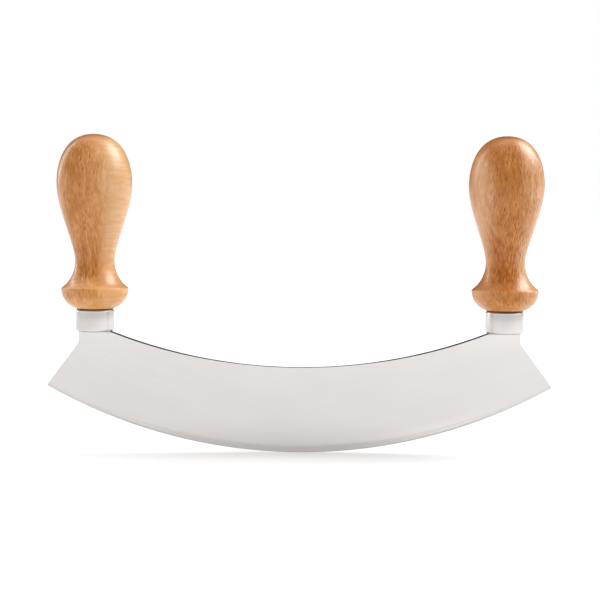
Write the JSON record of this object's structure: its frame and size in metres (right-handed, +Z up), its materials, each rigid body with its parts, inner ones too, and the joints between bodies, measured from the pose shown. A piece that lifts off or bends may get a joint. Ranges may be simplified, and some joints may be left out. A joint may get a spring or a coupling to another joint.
{
  "type": "mezzaluna",
  "caption": "Rocking chopper: a curved, bevelled steel blade with a turned wooden handle standing upright at each end.",
  "frame": {"origin": "lowest point of the cutting edge, midway between the tips and in the middle of the blade's thickness", "axes": "+X along the blade from the left tip to the right tip, +Y through the blade's thickness from its front face to its back face, +Z up from the cutting edge to the knobs"},
  "size_m": [0.26, 0.0384, 0.1635],
  "materials": {
    "blade_steel": "satin-polished stainless steel, finely brushed along the blade",
    "ferrule_steel": "satin stainless steel, drawn",
    "beech": "turned steamed beech under a satin varnish",
    "resin": "set amber resin, not seen on the whole object"
  },
  "bodies": {
    "root": {"blade": "blade_steel", "ferrule_left": "ferrule_steel", "ferrule_right": "ferrule_steel", "handle_left": "beech", "handle_right": "beech", "tang_resin_left": "resin", "tang_resin_right": "resin"}
  },
  "joints": []
}
